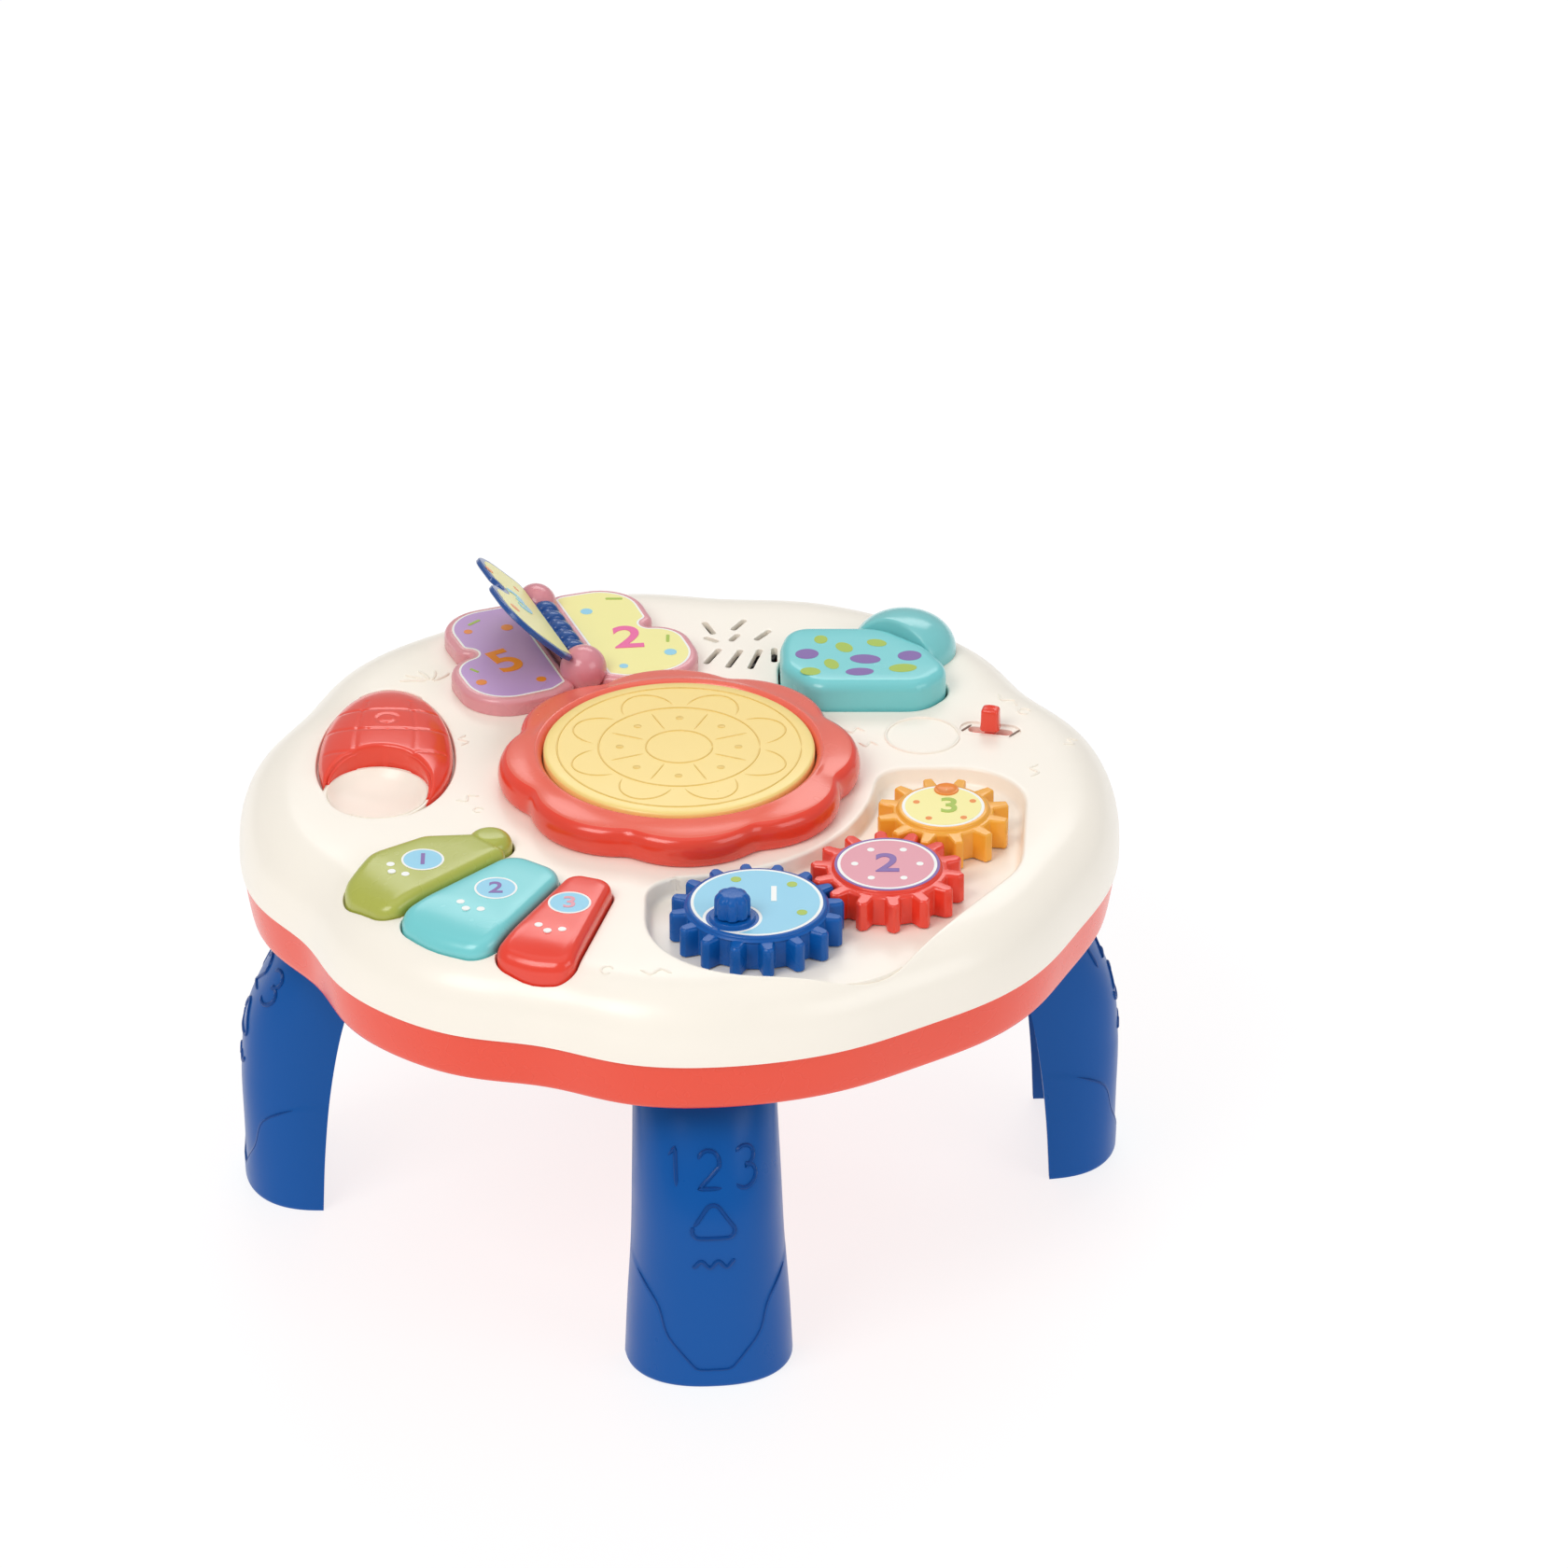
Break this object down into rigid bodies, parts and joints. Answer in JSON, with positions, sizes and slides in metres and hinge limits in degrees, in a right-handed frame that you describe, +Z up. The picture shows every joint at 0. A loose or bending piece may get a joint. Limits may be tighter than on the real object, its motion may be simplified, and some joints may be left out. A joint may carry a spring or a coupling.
{
  "type": "musical activity table",
  "caption": "Round scalloped toddler activity table on push-fit legs, with drum, keys, meshing gears, page-turning butterfly, big button, lamp dome, flip lid and slide switch.",
  "frame": {"origin": "on the floor at the height of the foot faces, under the middle of the drum, which is also the middle of the four legs and of the whole outline", "axes": "+Z up; the front leg points towards -Y and a little +X, +X is to the right of someone facing +Y from the front"},
  "size_m": [0.3762, 0.3762, 0.2306],
  "materials": {
    "cream_plastic": "moulded ivory plastic with a soft sheen",
    "red_plastic": "glossy orange-red moulded plastic",
    "blue_plastic": "glossy royal blue moulded plastic",
    "pale_yellow_plastic": "finely textured pale yellow plastic",
    "olive_plastic": "glossy olive green plastic",
    "teal_plastic": "glossy light teal plastic",
    "amber_plastic": "glossy amber yellow plastic",
    "pink_plastic": "glossy dusty pink plastic",
    "clear_teal_plastic": "tinted clear teal plastic lens",
    "lamp_plastic": "clear moulded lamp body",
    "dark_plastic": "black plastic",
    "board_green": "green coated circuit board",
    "pad_rubber": "grey silicone rubber",
    "steel": "plated steel",
    "cell_steel": "plain metal cell jacket"
  },
  "bodies": {
    "table": {"top_shell": "cream_plastic", "lower_tray": "red_plastic", "leg_front": "blue_plastic", "leg_right": "blue_plastic", "leg_back": "blue_plastic", "leg_left": "blue_plastic", "drum_ring": "red_plastic", "drum_pad": "pad_rubber", "green_key_pin": "steel", "green_key_pad": "pad_rubber", "teal_key_pin": "steel", "teal_key_pad": "pad_rubber", "red_key_pin": "steel", "red_key_pad": "pad_rubber", "butterfly_base": "pink_plastic", "page_pin": "steel", "button_pad": "pad_rubber", "lamp_dome": "clear_teal_plastic", "lamp_led": "lamp_plastic", "lid_pin": "steel", "switch_body": "dark_plastic", "speaker_driver": "dark_plastic", "main_board": "board_green", "main_board_screw_1": "steel", "main_board_screw_2": "steel", "key_board": "board_green", "key_board_screw_1": "steel", "key_board_screw_2": "steel", "button_board": "board_green", "button_board_screw_1": "steel", "button_board_screw_2": "steel", "housing_screw_1": "steel", "housing_screw_2": "steel", "housing_screw_3": "steel", "housing_screw_4": "steel", "housing_screw_5": "steel", "housing_screw_6": "steel", "battery_door": "red_plastic", "door_screw": "steel", "battery_1": "cell_steel", "battery_2": "cell_steel", "battery_3": "cell_steel"},
    "drum": {"drum_head": "pale_yellow_plastic"},
    "green_key": {"green_key": "olive_plastic"},
    "teal_key": {"teal_key": "teal_plastic"},
    "red_key": {"red_key": "red_plastic"},
    "blue_gear": {"blue_gear": "blue_plastic", "blue_gear_retainer": "steel"},
    "crank": {"crank_knob": "blue_plastic"},
    "red_gear": {"red_gear": "red_plastic", "red_gear_retainer": "steel"},
    "yellow_gear": {"yellow_gear": "amber_plastic", "yellow_gear_retainer": "steel"},
    "page": {"page": "blue_plastic"},
    "button": {"teal_button": "teal_plastic"},
    "lid": {"flip_lid": "red_plastic"},
    "slider": {"switch_slider": "red_plastic"}
  },
  "joints": [
    {"name": "drum_press", "type": "slide", "parent": "table", "child": "drum", "axis": [0, 0, -1], "range_m": [0, 0.0025], "stiffness_N_per_m": 800, "springref_m": -0.003, "deforming": ["drum_pad"]},
    {"name": "green_key_press", "type": "hinge", "parent": "table", "child": "green_key", "pos_m": [-0.06447, -0.05037, 0.174], "axis": [0.6157, -0.788, 0], "range_deg": [0, 3], "stiffness_Nm_per_rad": 0.6, "springref_deg": -3.44, "deforming": ["green_key_pad"]},
    {"name": "teal_key_press", "type": "hinge", "parent": "table", "child": "teal_key", "pos_m": [-0.05356, -0.07481, 0.174], "axis": [0.8131, -0.5821, 0], "range_deg": [0, 3], "stiffness_Nm_per_rad": 0.6, "springref_deg": -3.44, "deforming": ["teal_key_pad"]},
    {"name": "red_key_press", "type": "hinge", "parent": "table", "child": "red_key", "pos_m": [-0.03259, -0.08603, 0.174], "axis": [0.9351, -0.3543, 0], "range_deg": [0, 3], "stiffness_Nm_per_rad": 0.6, "springref_deg": -3.44, "deforming": ["red_key_pad"]},
    {"name": "blue_gear_spin", "type": "hinge", "parent": "table", "child": "blue_gear", "pos_m": [0.033, -0.116, 0.18], "axis": [0, 0, 1], "continuous": true},
    {"name": "red_gear_spin", "type": "hinge", "parent": "table", "child": "red_gear", "pos_m": [0.08695, -0.08435, 0.18], "axis": [0, 0, 1], "continuous": true},
    {"name": "yellow_gear_spin", "type": "hinge", "parent": "table", "child": "yellow_gear", "pos_m": [0.1108, -0.03567, 0.18], "axis": [0, 0, 1], "continuous": true},
    {"name": "crank_knob_spin", "type": "hinge", "parent": "blue_gear", "child": "crank", "pos_m": [0.023, -0.129, 0.195], "axis": [0, 0, 1], "continuous": true},
    {"name": "page_turn", "type": "hinge", "parent": "table", "child": "page", "pos_m": [-0.05, 0.103, 0.1944], "axis": [-0.342, 0.9397, 0], "range_deg": [-43, 133]},
    {"name": "button_press", "type": "slide", "parent": "table", "child": "button", "axis": [0, 0, -1], "range_m": [0, 0.0025], "stiffness_N_per_m": 600, "springref_m": -0.003, "deforming": ["button_pad"]},
    {"name": "lid_lift", "type": "hinge", "parent": "table", "child": "lid", "pos_m": [-0.1243, 0.0704, 0.181], "axis": [-1, 0, 0], "range_deg": [0, 65]},
    {"name": "switch_slide", "type": "slide", "parent": "table", "child": "slider", "axis": [0.9781, -0.2079, 0], "range_m": [-0.005, 0.005]}
  ],
  "couplings": [
    {"joint": "red_gear_spin", "follows": "blue_gear_spin", "ratio": -1.1429},
    {"joint": "yellow_gear_spin", "follows": "blue_gear_spin", "ratio": 1.3333}
  ]
}
